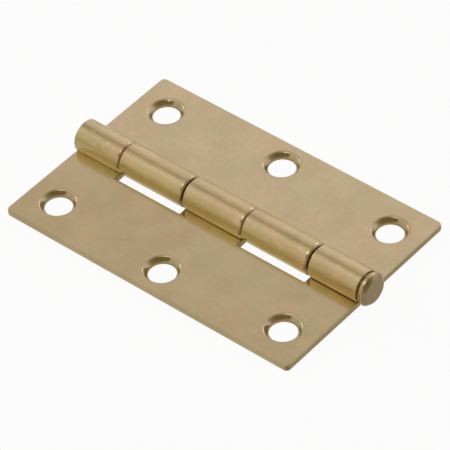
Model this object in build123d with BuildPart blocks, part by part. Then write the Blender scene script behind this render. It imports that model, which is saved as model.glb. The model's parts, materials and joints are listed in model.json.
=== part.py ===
"""Loose-pin butt hinge, lying open and flat: two rolled leaves turning on a headed pin."""

import os
from math import asin, cos, degrees, radians, sin

from build123d import *

# Sizes in millimetres. X runs along the pin towards its head, Y crosses the leaves, and Z points up
# from the underside of the open leaves, which lies at Z = 0.
leaf_length = 76.2
open_width = 50.8
sheet = 1.6
corner_radius = 1.0

# Pin and rolled barrel
pin_radius = 2.1
pin_clearance = 0.05
head_radius = 3.75
head_thickness = 1.75
head_gap = 0.45
head_back_round = 0.4
head_front_round = 0.9
tip_recess = 0.3
tip_chamfer = 0.5

# Knuckles: the three-knuckle leaf keeps two slots for the other leaf's knuckles
centre_knuckle = 15.7
slot_length = 17.85
axial_play = 0.75
near_gap = 0.2
cutout_gap = 1.0
seam_gap = 0.1

# Countersunk screw holes
hole_radius = 3.0
sink_radius = 4.0
sink_angle = 90
end_hole_spacing = 61.0
end_hole_edge = 8.0
middle_hole_edge = 6.0

# Values that follow from the sizes above
leaf_width = open_width / 2
bore_radius = pin_radius + pin_clearance
barrel_radius = bore_radius + sheet
cutout = barrel_radius + cutout_gap
outer_knuckle = (leaf_length - centre_knuckle - 2 * slot_length) / 2
inner_knuckle = slot_length - axial_play
# The two-knuckle leaf is pushed along the pin until its knuckles are this close to their neighbours
shift = near_gap - axial_play / 2
# The curl ends where its outer corner comes down to the seam above the plate
end_angle = degrees(asin(1 - (sheet + seam_gap) / barrel_radius))
curl_angle = 270 + end_angle
end_y = cos(radians(end_angle))
end_z = sin(radians(end_angle))
# The knuckle's root runs a little way into the plate
root = cutout + sheet
end_hole = leaf_width - end_hole_edge
middle_hole = leaf_width - middle_hole_edge

# Three-knuckle leaf, on the -Y side
three_starts = (-leaf_length / 2, -centre_knuckle / 2, leaf_length / 2 - outer_knuckle)
three_lengths = (outer_knuckle, centre_knuckle, outer_knuckle)

with BuildPart() as three_knuckle_leaf:
    with BuildSketch() as three_plate:
        with Locations((0, -leaf_width)):
            Rectangle(leaf_length, leaf_width - cutout, align=(Align.CENTER, Align.MIN))
        fillet(three_plate.vertices().group_by(Axis.Y)[0], corner_radius)
    extrude(amount=sheet)
    for start, length in zip(three_starts, three_lengths):
        with BuildSketch(Plane.YZ.offset(start)):
            with BuildLine():
                Line((-root, 0), (0, 0))
                CenterArc((0, barrel_radius), barrel_radius, -90, curl_angle)
                Line(
                    (-barrel_radius * end_y, barrel_radius - barrel_radius * end_z),
                    (-bore_radius * end_y, barrel_radius - bore_radius * end_z),
                )
                CenterArc((0, barrel_radius), bore_radius, -90, curl_angle)
                Line((0, sheet), (-root, sheet))
                Line((-root, sheet), (-root, 0))
            make_face()
        extrude(amount=length)
    with Locations(
        (-end_hole_spacing / 2, -end_hole, sheet),
        (0, -middle_hole, sheet),
        (end_hole_spacing / 2, -end_hole, sheet),
    ):
        CounterSinkHole(hole_radius, sink_radius, sheet, sink_angle)

three_knuckle_leaf.part.label = "three_knuckle_leaf"

# Two-knuckle leaf, on the +Y side, its curl rolled the other way
two_middle = (centre_knuckle + slot_length) / 2
two_starts = (shift - two_middle - inner_knuckle / 2, shift + two_middle - inner_knuckle / 2)

with BuildPart() as two_knuckle_leaf:
    with BuildSketch() as two_plate:
        with Locations((shift, leaf_width)):
            Rectangle(leaf_length, leaf_width - cutout, align=(Align.CENTER, Align.MAX))
        fillet(two_plate.vertices().group_by(Axis.Y)[-1], corner_radius)
    extrude(amount=sheet)
    for start in two_starts:
        with BuildSketch(Plane.YZ.offset(start)):
            with BuildLine():
                Line((root, 0), (0, 0))
                CenterArc((0, barrel_radius), barrel_radius, -90, -curl_angle)
                Line(
                    (barrel_radius * end_y, barrel_radius - barrel_radius * end_z),
                    (bore_radius * end_y, barrel_radius - bore_radius * end_z),
                )
                CenterArc((0, barrel_radius), bore_radius, -90, -curl_angle)
                Line((0, sheet), (root, sheet))
                Line((root, sheet), (root, 0))
            make_face()
        extrude(amount=inner_knuckle)
    with Locations(
        (shift - end_hole_spacing / 2, end_hole, sheet),
        (shift, middle_hole, sheet),
        (shift + end_hole_spacing / 2, end_hole, sheet),
    ):
        CounterSinkHole(hole_radius, sink_radius, sheet, sink_angle)

two_knuckle_leaf.part.label = "two_knuckle_leaf"

# Headed pin, standing a little way out of the barrel
pin_tip = -leaf_length / 2 + tip_recess
head_start = leaf_length / 2 + head_gap
pin_axis = Plane(origin=(0, 0, barrel_radius), x_dir=(0, 1, 0), z_dir=(1, 0, 0))

with BuildPart() as hinge_pin:
    with BuildSketch(pin_axis.offset(pin_tip)):
        Circle(pin_radius)
    extrude(amount=head_start - pin_tip)
    chamfer(hinge_pin.edges().group_by(Axis.X)[0], tip_chamfer)
    with BuildSketch(pin_axis.offset(head_start)):
        Circle(head_radius)
    extrude(amount=head_thickness)
    head_rims = hinge_pin.edges().filter_by(GeomType.CIRCLE).group_by(SortBy.RADIUS)[-1]
    fillet(head_rims.sort_by(Axis.X)[0], head_back_round)
    fillet(hinge_pin.edges().group_by(Axis.X)[-1], head_front_round)

hinge_pin.part.label = "hinge_pin"

os.makedirs("parts", exist_ok=True)
export_step(three_knuckle_leaf.part, "parts/three_knuckle_leaf.step")
export_step(two_knuckle_leaf.part, "parts/two_knuckle_leaf.step")
export_step(hinge_pin.part, "parts/hinge_pin.step")
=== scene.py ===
"""Finish and studio for a brass-plated butt hinge lying open and flat."""

import json
from math import cos, hypot, radians, sin, tan

import bmesh
import bpy
from mathutils import Matrix, Vector, noise


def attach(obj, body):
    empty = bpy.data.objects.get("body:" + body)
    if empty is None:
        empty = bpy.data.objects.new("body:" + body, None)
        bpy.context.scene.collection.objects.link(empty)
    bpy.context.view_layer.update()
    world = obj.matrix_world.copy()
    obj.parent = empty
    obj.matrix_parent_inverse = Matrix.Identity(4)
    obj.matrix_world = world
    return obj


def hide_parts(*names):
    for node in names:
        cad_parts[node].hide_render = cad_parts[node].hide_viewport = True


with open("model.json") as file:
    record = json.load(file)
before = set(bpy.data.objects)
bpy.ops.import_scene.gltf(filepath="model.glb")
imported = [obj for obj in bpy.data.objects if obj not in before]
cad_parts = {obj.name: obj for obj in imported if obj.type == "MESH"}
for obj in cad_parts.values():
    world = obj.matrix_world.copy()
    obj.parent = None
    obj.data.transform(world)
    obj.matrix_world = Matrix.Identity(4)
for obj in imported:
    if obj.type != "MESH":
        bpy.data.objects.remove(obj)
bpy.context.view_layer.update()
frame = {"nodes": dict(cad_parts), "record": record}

# Camera at the photograph's viewing angle, in metres and in pixels of a 450 pixel frame
FRAME_PIXELS = 450
FOCAL_PIXELS = 3536
SENSOR_MM = 36
EYE = Vector((0.36492, -0.38251, 0.50974))
LOOK = Vector((-0.4962, 0.5206, -0.6948))
RIGHT = Vector((0.7628, 0.6436, -0.0624))

# Places on the leaves, in metres. The barrel touches the plane of the leaves' backs.
MM = 0.001
swing = next(joint for joint in frame["record"]["behaviour"]["joints"] if joint["name"] == "leaf_swing")
PIN_HEIGHT = swing["pos_m"][2]
BARREL_RADIUS = PIN_HEIGHT
ON_BARREL = 0.03 * MM
BORE_REACH = 2.60 * MM
SHEET_TOP = 1.62 * MM
OUTER_END = 37.0 * MM
INNER_RING = 3.0 * MM
SINK_REACH = 4.3 * MM
WELD = 0.002 * MM
MICRON_DIGITS = 6

# Angles between faces, and parts of a face's normal that tell which way it looks
FLAT_ANGLE = radians(0.4)
SHARP_EDGE = radians(28)
SIDEWAYS = 0.20
ENDWAYS = 0.98
CORNERWISE = 0.25
HEAD_FRONT = 0.50

# Kinds of face, in the order of a leaf's finishes and of the pin's
ROLLED, PLATE, CROPPED, SLIT, SINK, PUNCHED, JOINT, SLOT = range(8)
PIN_SIDE, PIN_FACE = range(2)

# Rounding of the edges: full width in metres, and the share of it that each kind of edge gets
EDGE_ROUND = 0.6 * MM
EDGE_STEPS = 3
NEAR_RIM_SHARE, FAR_RIM_SHARE, LAST_RIM_SHARE = 0.80, 0.50, 0.35
OUTLINE_SHARE, HOLE_SHARE, BORE_SHARE, SEAM_SHARE = 0.42, 0.42, 0.22, 0.30

# Doming of the knuckles, in metres
CROWN_REACH = 1.9 * MM
CROWN_DROP = 0.15 * MM
CROWN_RINGS = (1.9 * MM, 1.5 * MM, 1.1 * MM, 0.7 * MM)

# Seams, in metres. For each metre towards the pin's head the share of rounding grows by SEAM_WIDENS and
# the height by SEAM_SLOPE.
SEAM_REACH = 1.85 * MM
SEAM_HEIGHT, SEAM_LOWEST = 1.645 * MM, 1.624 * MM
SEAM_WIDENS = 7
SEAM_SLOPE = 0.0007
SEAM_RAG, SEAM_GRAIN = 0.08 * MM, 2.3 * MM
SEAM_CUTS = 60

# Turned pin, in metres. A flatness of 1 rounds an edge of the head, and 2 would bevel it flat.
PIN_RADIUS = 2.1 * MM
TIP_CHAMFER = 0.5 * MM
HEAD_RADIUS = 3.75 * MM
HEAD_THICKNESS = 1.75 * MM
HEAD_BACK_ROUND = 0.4 * MM
HEAD_FRONT_ROUND = 0.9 * MM
ROUND, BEVELLED = 1.0, 1.6
ROUND_STEPS = 10
TURN_STEPS = 96

# Plating tones, pale and deep, as linear colour
BRIGHT_TONES = (0.735, 0.628, 0.350, 1), (0.635, 0.542, 0.302, 1)
ROLLED_TONES = (0.760, 0.645, 0.345, 1), (0.620, 0.522, 0.272, 1)
ROUNDED_TONES = (0.650, 0.555, 0.340, 1), (0.560, 0.475, 0.285, 1)
# Cropped ends: a darker copy of the slit edges' tone, painted shade for the shadowed floor they mirror
CROPPED_PAINTED_SHADE_TONES = (0.540, 0.455, 0.270, 1), (0.420, 0.345, 0.195, 1)
# Straight walls of the screw holes: nearly black, painted shade for the shadow inside the holes
PUNCHED_PAINTED_SHADE_TONES = (0.240, 0.195, 0.112, 1), (0.180, 0.143, 0.078, 1)
# Slot walls between the knuckles, and the plates' rounded corners: darker, painted shade
SLOT_PAINTED_SHADE_TONES = (0.410, 0.335, 0.190, 1), (0.320, 0.260, 0.142, 1)
SLIT_TONES = (0.740, 0.645, 0.420, 1), (0.620, 0.530, 0.335, 1)
JOINT_TONES = (0.620, 0.430, 0.140, 1), (0.510, 0.355, 0.110, 1)
# Countersinks: the plating's tone made darker, painted shade that deepens the dark they mirror
SINK_PAINTED_SHADE_TONES = (0.586, 0.494, 0.287, 1), (0.506, 0.425, 0.241, 1)
PIN_TONES = (0.665, 0.555, 0.310, 1), (0.580, 0.480, 0.262, 1)
# The pin's face and the front bevel of its head: a darker copy of the pin's tone, painted shade
PIN_FACE_PAINTED_SHADE_TONES = (0.465, 0.385, 0.235, 1), (0.385, 0.316, 0.190, 1)
FLECK_TONE = (0.880, 0.790, 0.540, 1)
PINKISH = (1.026, 0.981, 0.993)
GREENISH = (0.974, 1.019, 1.004)

# Patterns in the plating, as the scale, detail and roughness of noise
CLOUDS = (130, 4, 0.55)
TINTS = (160, 3, 0.50)
SPECKS = (1500, 3, 0.50)
DRAWN = (1, 3, 0.60)
DENTS = (1, 2, 0.50)
WAVES = (110, 1, 0.50)
FLECKS = (1, 2, 0.50)

# Their stretch along the pin and across it, where they aren't even
TINT_STRETCH = (1.0, 1.3, 1.3)
DRAWN_STRETCH = (90, 2600, 2600)
DENT_STRETCH = (260, 900, 900)
FLECK_STRETCH = (700, 1500, 1500)

# Their weights in the tone and in the gloss, and the part of each mixture's range that counts
CLOUD_TONE_WEIGHT, SPECK_TONE_WEIGHT, DRAWN_TONE_WEIGHT = 0.6, 0.2, 0.2
CLOUD_GLOSS_WEIGHT, DRAWN_GLOSS_WEIGHT = 0.5, 0.5
TONE_RANGE = (0.36, 0.64)
TINT_RANGE = (0.35, 0.65)
GLOSS_RANGE = (0.30, 0.70)
FLECK_RANGE = (0.62, 0.72)

# Roughness of plain sheared metal, and its grain in millimetres
SHEARED_GLOSS = (0.30, 0.45)
SHEARED_GRAIN = 0.006

# The plates are shaded as if both leaves drooped a little towards their outer edges
DROOP = tan(radians(4))


class Nodes:
    """Short calls for building one node tree."""

    def __init__(self, tree):
        self.tree = tree
        self.tree.nodes.clear()

    def add(self, kind, **settings):
        node = self.tree.nodes.new(kind)
        for name, value in settings.items():
            setattr(node, name, value)
        return node

    def link(self, source, target):
        self.tree.links.new(source, target)

    def math(self, operation, first, second):
        node = self.add("ShaderNodeMath", operation=operation)
        for socket, value in zip(node.inputs, (first, second)):
            if isinstance(value, (int, float)):
                socket.default_value = value
            else:
                self.link(value, socket)
        return node.outputs[0]

    def total(self, *parts):
        """The sum of some values, each times its weight."""
        first, *others = [self.math("MULTIPLY", value, weight) for value, weight in parts]
        for other in others:
            first = self.math("ADD", first, other)
        return first

    def noise(self, vector, scale, detail, roughness):
        node = self.add("ShaderNodeTexNoise")
        node.inputs["Scale"].default_value = scale
        node.inputs["Detail"].default_value = detail
        node.inputs["Roughness"].default_value = roughness
        self.link(vector, node.inputs["Vector"])
        return node.outputs["Fac"]

    def stretched(self, vector, scale):
        node = self.add("ShaderNodeMapping")
        node.inputs["Scale"].default_value = scale
        self.link(vector, node.inputs["Vector"])
        return node.outputs["Vector"]

    def spread(self, value, low, high, to_low, to_high):
        node = self.add("ShaderNodeMapRange")
        node.inputs["From Min"].default_value = low
        node.inputs["From Max"].default_value = high
        node.inputs["To Min"].default_value = to_low
        node.inputs["To Max"].default_value = to_high
        self.link(value, node.inputs["Value"])
        return node.outputs["Result"]

    def mix(self, share, first, second):
        node = self.add("ShaderNodeMix", data_type="RGBA")
        self.link(share, node.inputs["Factor"])
        for name, value in (("A", first), ("B", second)):
            socket = next(s for s in node.inputs if s.name == name and s.type == "RGBA")
            if isinstance(value, tuple):
                socket.default_value = value
            else:
                self.link(value, socket)
        return next(s for s in node.outputs if s.type == "RGBA")


def tinted(tone, tint):
    """A tone leaning towards a tint."""
    return tuple(part * share for part, share in zip(tone, tint)) + (1,)


def plating(
    name, tones, gloss=SHEARED_GLOSS, grain=SHEARED_GRAIN, lines=0, lean=0, waves=0, dents=0, flecks=0
):
    """Plated metal: clouded tones, uneven gloss, and a fine relief with its heights in millimetres."""
    material = bpy.data.materials.new(name)
    material.use_nodes = True
    nodes = Nodes(material.node_tree)
    place = nodes.add("ShaderNodeTexCoord").outputs["Object"]
    clouds = nodes.noise(place, *CLOUDS)
    tints = nodes.noise(nodes.stretched(place, TINT_STRETCH), *TINTS)
    specks = nodes.noise(place, *SPECKS)
    drawn = nodes.noise(nodes.stretched(place, DRAWN_STRETCH), *DRAWN)
    dented = nodes.noise(nodes.stretched(place, DENT_STRETCH), *DENTS)
    waved = nodes.noise(place, *WAVES)

    surface = nodes.add("ShaderNodeBsdfPrincipled")
    surface.inputs["Metallic"].default_value = 1
    tone = nodes.total(
        (clouds, CLOUD_TONE_WEIGHT),
        (specks, SPECK_TONE_WEIGHT),
        (drawn, DRAWN_TONE_WEIGHT),
    )
    share = nodes.spread(tone, *TONE_RANGE, 0, 1)
    hue = nodes.spread(tints, *TINT_RANGE, 0, 1)
    pale, deep = (nodes.mix(hue, tinted(part, PINKISH), tinted(part, GREENISH)) for part in tones)
    plain = nodes.mix(share, deep, pale)
    if flecks:
        flecked = nodes.noise(nodes.stretched(place, FLECK_STRETCH), *FLECKS)
        plain = nodes.mix(nodes.spread(flecked, *FLECK_RANGE, 0, flecks), plain, FLECK_TONE)
    nodes.link(plain, surface.inputs["Base Color"])
    dull = nodes.total((clouds, CLOUD_GLOSS_WEIGHT), (drawn, DRAWN_GLOSS_WEIGHT))
    nodes.link(nodes.spread(dull, *GLOSS_RANGE, *gloss), surface.inputs["Roughness"])

    spot = nodes.add("ShaderNodeSeparateXYZ")
    nodes.link(place, spot.inputs["Vector"])
    relief = nodes.total(
        (spot.outputs["Y"], lean),
        (specks, grain * MM),
        (drawn, lines * MM),
        (waved, waves * MM),
        (dented, dents * MM),
    )
    bump = nodes.add("ShaderNodeBump")
    bump.inputs["Distance"].default_value = 1
    nodes.link(relief, bump.inputs["Height"])
    nodes.link(bump.outputs["Normal"], surface.inputs["Normal"])
    output = nodes.add("ShaderNodeOutputMaterial")
    nodes.link(surface.outputs["BSDF"], output.inputs["Surface"])
    return material


def plate_plating(name, lean):
    """The bright plating of one leaf's plate, with its shading leant."""
    return plating(name, BRIGHT_TONES, gloss=(0.13, 0.20), grain=0.001, lines=0.0007, lean=lean)


rolled = plating(
    "rolled_brass_plating",
    ROLLED_TONES,
    gloss=(0.15, 0.27),
    grain=0.005,
    lines=0.014,
    waves=0.15,
    dents=0.045,
    flecks=0.5,
)
near_plate = plate_plating("near_plate_brass_plating", DROOP)
far_plate = plate_plating("far_plate_brass_plating", -DROOP)
cropped_edge_painted_shade = plating("cropped_edge_brass", CROPPED_PAINTED_SHADE_TONES)
slit_edge = plating("slit_edge_brass", SLIT_TONES, lines=0.004)
joint_face = plating("joint_face_brass", JOINT_TONES)
sink_metal_painted_shade = plating("countersink_brass_painted_shade", SINK_PAINTED_SHADE_TONES, gloss=(0.10, 0.16), grain=0.003)
slot_wall_painted_shade = plating("slot_wall_brass", SLOT_PAINTED_SHADE_TONES)
punched_wall_painted_shade = plating("punched_wall_brass", PUNCHED_PAINTED_SHADE_TONES, gloss=(0.35, 0.50))
rounded_edge = plating("rounded_edge_brass_plating", ROUNDED_TONES, gloss=(0.26, 0.38), grain=0.002)
pin_side = plating("pin_side_brass_plating", PIN_TONES, gloss=(0.16, 0.26), grain=0.002, lines=0.001)
pin_face_painted_shade = plating("pin_face_brass_plating", PIN_FACE_PAINTED_SHADE_TONES, gloss=(0.14, 0.22), grain=0.004)


def hole_centres():
    """Screw-hole centres of both leaves, from the record's mounts."""
    centres = []
    for mount in frame["record"]["mounts"]:
        spot = Vector(mount["pos_m"]).to_2d()
        if mount["kind"] == "bolt_pattern":
            half = Vector((mount["dims"]["spacing_x_mm"] * MM / 2, 0))
            centres += [spot - half, spot + half]
        elif mount["kind"] == "bore":
            centres.append(spot)
    return centres


HOLES = hole_centres()


def in_hole(element):
    """Whether every corner of a face or edge lies in one countersink."""
    flat = [vertex.co.to_2d() for vertex in element.verts]
    return any(all((spot - centre).length < SINK_REACH for spot in flat) for centre in HOLES)


def on_knuckle(face):
    """Whether a face stands above the sheet."""
    return max(vertex.co.z for vertex in face.verts) > SHEET_TOP


def is_outer(face):
    """Whether an end face lies at an end of the hinge, and not in a joint or slot."""
    return abs(face.calc_center_median().x) > OUTER_END


def reach(vertex):
    """Distance of a corner from the pin's axis."""
    return hypot(vertex.co.y, vertex.co.z - PIN_HEIGHT)


def on_barrel(vertex):
    """Whether a corner lies on the outside of the barrel."""
    return abs(reach(vertex) - BARREL_RADIUS) < ON_BARREL


def leaf_face_kind(face):
    """Which finish a face of a leaf gets. A plate's rounded corners get the same painted shade as its
    slots.
    """
    upright = abs(face.normal.z) < SIDEWAYS
    if in_hole(face):
        return PUNCHED if upright else SINK
    if abs(face.normal.x) > ENDWAYS:
        if on_knuckle(face):
            return JOINT if face.calc_center_median().x > -OUTER_END else SLIT
        return CROPPED if is_outer(face) else SLOT
    if on_knuckle(face):
        return ROLLED
    if not upright:
        return PLATE
    if min(abs(face.normal.x), abs(face.normal.y)) > CORNERWISE:
        return SLOT
    # Faces turned more along the pin than across it get the cropped ends' painted shade
    return CROPPED if abs(face.normal.x) > abs(face.normal.y) else SLIT


def pin_face_kind(face):
    """Which finish a face of the pin gets. Faces turned towards its outer end get the darker finish
    with painted shade.
    """
    return PIN_FACE if face.normal.x > HEAD_FRONT else PIN_SIDE


def edge_share(edge):
    """How much of the full rounding a sharp edge of a leaf gets."""
    if len(edge.link_faces) != 2 or edge.calc_face_angle() < SHARP_EDGE:
        return 0
    if in_hole(edge):
        return HOLE_SHARE
    first, second = (vertex.co for vertex in edge.verts)
    if max(first.z, second.z) < SHEET_TOP:
        return OUTLINE_SHARE
    if abs(first.x - second.x) > WELD:
        return SEAM_SHARE + SEAM_WIDENS * first.x
    if min(reach(vertex) for vertex in edge.verts) < BORE_REACH:
        return BORE_SHARE
    if max(face.normal.x for face in edge.link_faces) < ENDWAYS:
        return FAR_RIM_SHARE
    return LAST_RIM_SHARE if first.x > OUTER_END else NEAR_RIM_SHARE


def sliced(shape, faces, spot, way):
    """Cuts some faces of a mesh along a plane."""
    edges = {edge for face in faces for edge in face.edges}
    corners = {vertex for face in faces for vertex in face.verts}
    parts = [*faces, *edges, *corners]
    bmesh.ops.bisect_plane(shape, geom=parts, dist=WELD, plane_co=spot, plane_no=way)


def astride(spots, cut):
    """Whether some places along the pin lie on both sides of a cut."""
    return min(spots) < cut - WELD and max(spots) > cut + WELD


def ringed(shape):
    """Cuts each end face where the ring of its knuckle meets the edge of the plate."""

    def ends(outer):
        """The end faces that reach down to the sheet, at the ends of the hinge or between them."""
        shape.normal_update()
        faces = [face for face in shape.faces if abs(face.normal.x) > ENDWAYS]
        faces = [face for face in faces if is_outer(face) == outer]
        return [face for face in faces if min(vertex.co.z for vertex in face.verts) < SHEET_TOP]

    for side in (-BARREL_RADIUS, BARREL_RADIUS):
        sliced(shape, ends(True), (0, side, 0), (0, 1, 0))
    sliced(shape, ends(False), (0, 0, PIN_HEIGHT), (0, 0, 1))
    for side in (-INNER_RING, INNER_RING):
        sliced(shape, ends(False), (0, side, 0), (0, 1, 0))


def crowned(shape):
    """Domes each knuckle a little towards the joint on its side of the pin's head."""
    ends = set()
    for face in shape.faces:
        if face.normal.x > ENDWAYS and on_knuckle(face) and not is_outer(face):
            ends.add(round(face.calc_center_median().x, MICRON_DIGITS))
    for end in sorted(ends):
        for ring in CROWN_RINGS:
            cut = end - ring
            skin = []
            for face in shape.faces:
                spots = [vertex.co.x for vertex in face.verts]
                if all(on_barrel(vertex) for vertex in face.verts) and astride(spots, cut):
                    skin.append(face)
            sliced(shape, skin, (cut, 0, 0), (1, 0, 0))
        for vertex in shape.verts:
            inward = (vertex.co.x - end + CROWN_REACH) / CROWN_REACH
            if 0 < inward < 1 + WELD / CROWN_REACH and on_barrel(vertex):
                drop = CROWN_DROP * inward**2 * min(1, vertex.co.z / SHEET_TOP)
                share = 1 - drop / BARREL_RADIUS
                vertex.co.y *= share
                vertex.co.z = PIN_HEIGHT + (vertex.co.z - PIN_HEIGHT) * share


def closed(shape):
    """Brings the end of each curl down close to its plate, with a slightly ragged seam."""
    plate_side = sum(vertex.co.y for vertex in shape.verts)

    def at_seam(vertex):
        """Whether a corner lies on the end of a curl, just over the plate."""
        low = SHEET_TOP < vertex.co.z < SEAM_REACH and vertex.co.y * plate_side > 0
        return low and reach(vertex) > BORE_REACH

    start = min(vertex.co.x for vertex in shape.verts)
    step = (max(vertex.co.x for vertex in shape.verts) - start) / SEAM_CUTS
    for number in range(1, SEAM_CUTS):
        cut = start + number * step
        strips = []
        for face in shape.faces:
            spots = [vertex.co.x for vertex in face.verts if at_seam(vertex)]
            if spots and astride(spots, cut):
                strips.append(face)
        sliced(shape, strips, (cut, 0, 0), (1, 0, 0))
    for vertex in filter(at_seam, list(shape.verts)):
        ragged = SEAM_RAG * noise.noise((vertex.co.x / SEAM_GRAIN, 0, 0))
        vertex.co.z = max(SEAM_LOWEST, SEAM_HEIGHT + SEAM_SLOPE * vertex.co.x + ragged)


def leaf_shape(name):
    """A leaf's solid as a clean mesh, with domed knuckles, closed seams and its rounding as weights."""
    shape = bmesh.new()
    shape.from_mesh(frame["nodes"][name].data)
    bmesh.ops.remove_doubles(shape, verts=shape.verts, dist=WELD)
    bmesh.ops.dissolve_limit(shape, angle_limit=FLAT_ANGLE, verts=shape.verts, edges=shape.edges)
    ringed(shape)
    crowned(shape)
    closed(shape)
    shape.normal_update()
    weights = shape.edges.layers.float.new("bevel_weight_edge")
    for edge in shape.edges:
        edge[weights] = edge_share(edge)
    return shape


def rim(start, depth, flatness):
    """An edge of the head as (along, radius) from its face outwards."""
    corners = []
    for step in range(ROUND_STEPS + 1):
        turn = radians(90) * step / ROUND_STEPS
        rise = max(0, sin(turn)) ** flatness
        run = max(0, cos(turn)) ** flatness
        corners.append((start + depth * (1 - run), HEAD_RADIUS - abs(depth) * (1 - rise)))
    return corners


def pin_shape():
    """The pin as a smooth turned mesh between the ends of its solid."""
    ends = [vertex.co.x for vertex in frame["nodes"]["hinge_pin"].data.vertices]
    tip, face = min(ends), max(ends)
    head = face - HEAD_THICKNESS
    profile = [(tip, PIN_RADIUS - TIP_CHAMFER), (tip + TIP_CHAMFER, PIN_RADIUS), (head, PIN_RADIUS)]
    profile += rim(head, HEAD_BACK_ROUND, ROUND)
    profile += reversed(rim(face, -HEAD_FRONT_ROUND, BEVELLED))
    shape = bmesh.new()
    rings = []
    for along, radius in profile:
        ring = []
        for step in range(TURN_STEPS):
            turn = radians(360) * step / TURN_STEPS
            ring.append(shape.verts.new((along, radius * cos(turn), PIN_HEIGHT + radius * sin(turn))))
        rings.append(ring)
    for ring, following in zip(rings, rings[1:]):
        for step in range(TURN_STEPS):
            beside = (step + 1) % TURN_STEPS
            shape.faces.new((ring[step], ring[beside], following[beside], following[step]))
    shape.faces.new(reversed(rings[0]))
    shape.faces.new(rings[-1])
    bmesh.ops.recalc_face_normals(shape, faces=shape.faces)
    return shape


def dressed(shape, node, body, finishes, face_kind):
    """A piece in place of a solid: a finish for each kind of face, and the last for rounded edges."""
    shape.normal_update()
    for face in shape.faces:
        face.smooth = True
        face.material_index = face_kind(face)
    for edge in shape.edges:
        edge.smooth = edge.calc_face_angle(0) < SHARP_EDGE
    mesh = bpy.data.meshes.new(node + "_finish")
    shape.to_mesh(mesh)
    shape.free()
    for finish in finishes:
        mesh.materials.append(finish)
    piece = bpy.data.objects.new(node + "_finish", mesh)
    bpy.context.scene.collection.objects.link(piece)

    rounding = piece.modifiers.new("edge_round", "BEVEL")
    rounding.width = EDGE_ROUND
    rounding.segments = EDGE_STEPS
    rounding.limit_method = "WEIGHT"
    rounding.material = len(finishes) - 1
    rounding.use_clamp_overlap = False
    piece.modifiers.new("face_normals", "WEIGHTED_NORMAL")
    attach(piece, body)
    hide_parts(node)


for leaf, plate in (("three_knuckle_leaf", near_plate), ("two_knuckle_leaf", far_plate)):
    leaf_finishes = (
        rolled,
        plate,
        cropped_edge_painted_shade,
        slit_edge,
        sink_metal_painted_shade,
        punched_wall_painted_shade,
        joint_face,
        slot_wall_painted_shade,
        rounded_edge,
    )
    dressed(leaf_shape(leaf), leaf, leaf, leaf_finishes, leaf_face_kind)
dressed(pin_shape(), "hinge_pin", "pin", (pin_side, pin_face_painted_shade), pin_face_kind)

# Studio: a nearly clear white floor in a soft warm surround. The surround is dim along a band over the
# barrel and hazy near the horizon, is pale on the left, has two dark patches for the countersinks and
# the pin's head to mirror, and is white behind the part as the camera sees it.
FLOOR_SIZE = 4.0
FLOOR_DROP = 0.05 * MM
FLOOR_SHARE = 0.06
WHITE = (1, 1, 1, 1)
BAND_ANGLE = radians(102)
SURROUND = (
    (0.000, (0.660, 0.575, 0.530)),
    (0.230, (0.795, 0.705, 0.720)),
    (0.300, (0.720, 0.635, 0.645)),
    (0.440, (0.510, 0.440, 0.400)),
    (0.500, (0.445, 0.380, 0.330)),
    (0.560, (0.480, 0.410, 0.370)),
    (0.645, (0.655, 0.580, 0.605)),
    (0.770, (0.725, 0.650, 0.710)),
    (0.880, (0.820, 0.740, 0.800)),
)
HAZE_TONE = (0.500, 0.440, 0.275, 1)
HAZE_TOP = 0.40
HAZE_FRONT_FROM, HAZE_FRONT_TO = -0.20, 0.40
HAZE_BACK = 0.35
LEFT_FROM, LEFT_TO = -0.75, -0.92
LEFT_TONE = (0.700, 0.680, 0.660, 1)
DIM_WAY = Vector((0.70, -0.25, 0.62)).normalized()
DIM_FROM, DIM_TO = 0.55, 0.85
DIM_TONE = (0.330, 0.262, 0.155, 1)
SHADE_WAY = Vector((0.50, -0.60, 0.62)).normalized()
SHADE_FROM, SHADE_TO = 0.70, 0.78
SHADE_LOW, SHADE_HIGH = 0.50, 0.58
SHADE_TONE = (0.250, 0.190, 0.105, 1)
FLOOR_FROM, FLOOR_TO = -0.05, -0.20
FLOOR_TONE = (0.560, 0.510, 0.440, 1)
BACKDROP_FROM, BACKDROP_TO = 0.90, 0.95

# Lamps: name, place and size in metres, and power in watts
LAMPS = (
    ("left_lamp", (-0.637, -0.035, 0.264), 0.11, 0.24),
    ("back_lamp", (-0.070, 0.595, 0.350), 0.12, 0.15),
    ("top_lamp", (0.000, -0.250, 0.550), 0.22, 0.25),
)


def make_floor():
    """The floor just under the part, mostly clear, with a little white paint for the shadow."""
    material = bpy.data.materials.new("floor_white")
    material.use_nodes = True
    nodes = Nodes(material.node_tree)
    clear = nodes.add("ShaderNodeBsdfTransparent")
    paint = nodes.add("ShaderNodeBsdfDiffuse")
    paint.inputs["Color"].default_value = WHITE
    both = nodes.add("ShaderNodeMixShader")
    both.inputs["Fac"].default_value = FLOOR_SHARE
    nodes.link(clear.outputs["BSDF"], both.inputs[1])
    nodes.link(paint.outputs["BSDF"], both.inputs[2])
    output = nodes.add("ShaderNodeOutputMaterial")
    nodes.link(both.outputs["Shader"], output.inputs["Surface"])

    shape = bmesh.new()
    bmesh.ops.create_grid(shape, x_segments=1, y_segments=1, size=FLOOR_SIZE / 2)
    mesh = bpy.data.meshes.new("floor")
    shape.to_mesh(mesh)
    shape.free()
    mesh.materials.append(material)
    floor = bpy.data.objects.new("floor", mesh)
    floor.location.z = -FLOOR_DROP
    bpy.context.scene.collection.objects.link(floor)


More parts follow.
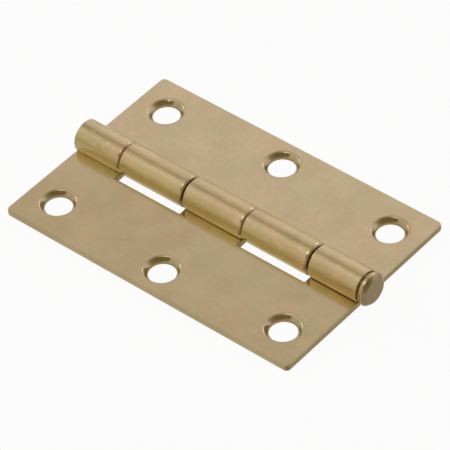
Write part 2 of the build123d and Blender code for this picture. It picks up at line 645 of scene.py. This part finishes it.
def make_world():
    """The surround: a ramp of tones over the barrel from side to side, with layers laid over it."""
    world = bpy.data.worlds.new("studio")
    bpy.context.scene.world = world
    world.use_nodes = True
    nodes = Nodes(world.node_tree)
    look = nodes.add("ShaderNodeTexCoord").outputs["Generated"]
    way = nodes.add("ShaderNodeSeparateXYZ")
    nodes.link(look, way.inputs["Vector"])
    along, across, up = (way.outputs[axis] for axis in "XYZ")

    length = nodes.math("SQRT", nodes.total((across, across), (up, up)), 0)
    turned = nodes.total((across, sin(BAND_ANGLE)), (up, cos(BAND_ANGLE)))
    side = nodes.math("DIVIDE", turned, length)
    ramp = nodes.add("ShaderNodeValToRGB")
    ramp.color_ramp.interpolation = "EASE"
    marks = ramp.color_ramp.elements
    while len(marks) < len(SURROUND):
        marks.new(1)
    for mark, (spot, tone) in zip(marks, SURROUND):
        mark.position = spot
        mark.color = (*tone, 1)
    nodes.link(nodes.spread(side, -1, 1, 0, 1), ramp.inputs["Fac"])

    def toward(aim, low, high):
        """A share that grows towards one direction."""
        dot = nodes.add("ShaderNodeVectorMath", operation="DOT_PRODUCT")
        nodes.link(look, dot.inputs[0])
        dot.inputs[1].default_value = aim
        return nodes.spread(dot.outputs["Value"], low, high, 0, 1)

    low_down = nodes.spread(up, 0, HAZE_TOP, 1, 0)
    in_front = nodes.spread(across, HAZE_FRONT_FROM, HAZE_FRONT_TO, 1, HAZE_BACK)
    overhead = nodes.spread(up, SHADE_LOW, SHADE_HIGH, 0, 1)
    layers = (
        (nodes.math("MULTIPLY", low_down, in_front), HAZE_TONE),
        (nodes.spread(along, LEFT_FROM, LEFT_TO, 0, 1), LEFT_TONE),
        (toward(DIM_WAY, DIM_FROM, DIM_TO), DIM_TONE),
        (nodes.math("MULTIPLY", toward(SHADE_WAY, SHADE_FROM, SHADE_TO), overhead), SHADE_TONE),
        (nodes.spread(up, FLOOR_FROM, FLOOR_TO, 0, 1), FLOOR_TONE),
        (toward(LOOK.normalized(), BACKDROP_FROM, BACKDROP_TO), WHITE),
    )
    tone = ramp.outputs["Color"]
    for share, other in layers:
        tone = nodes.mix(share, tone, other)
    studio = nodes.add("ShaderNodeBackground")
    nodes.link(tone, studio.inputs["Color"])
    output = nodes.add("ShaderNodeOutputWorld")
    nodes.link(studio.outputs["Background"], output.inputs["Surface"])


def make_lamp(name, spot, size, power):
    """A square lamp aimed at the part."""
    light = bpy.data.lights.new(name, "AREA")
    light.size = size
    light.energy = power
    lamp = bpy.data.objects.new(name, light)
    lamp.location = spot
    lamp.rotation_mode = "QUATERNION"
    lamp.rotation_quaternion = (-Vector(spot)).to_track_quat("-Z", "Y")
    bpy.context.scene.collection.objects.link(lamp)


def make_camera():
    """The camera at EYE, looking along LOOK with RIGHT to its right."""
    data = bpy.data.cameras.new("camera")
    data.sensor_width = SENSOR_MM
    data.lens = FOCAL_PIXELS / FRAME_PIXELS * SENSOR_MM
    camera = bpy.data.objects.new("camera", data)
    across = (RIGHT - LOOK * RIGHT.dot(LOOK) / LOOK.length_squared).normalized()
    up = across.cross(LOOK).normalized()
    back = -LOOK.normalized()
    camera.matrix_world = Matrix(
        (
            (across.x, up.x, back.x, EYE.x),
            (across.y, up.y, back.y, EYE.y),
            (across.z, up.z, back.z, EYE.z),
            (0, 0, 0, 1),
        )
    )
    bpy.context.scene.collection.objects.link(camera)
    bpy.context.scene.camera = camera


make_floor()
make_world()
for lamp_values in LAMPS:
    make_lamp(*lamp_values)
make_camera()
bpy.context.scene.view_settings.view_transform = "Standard"
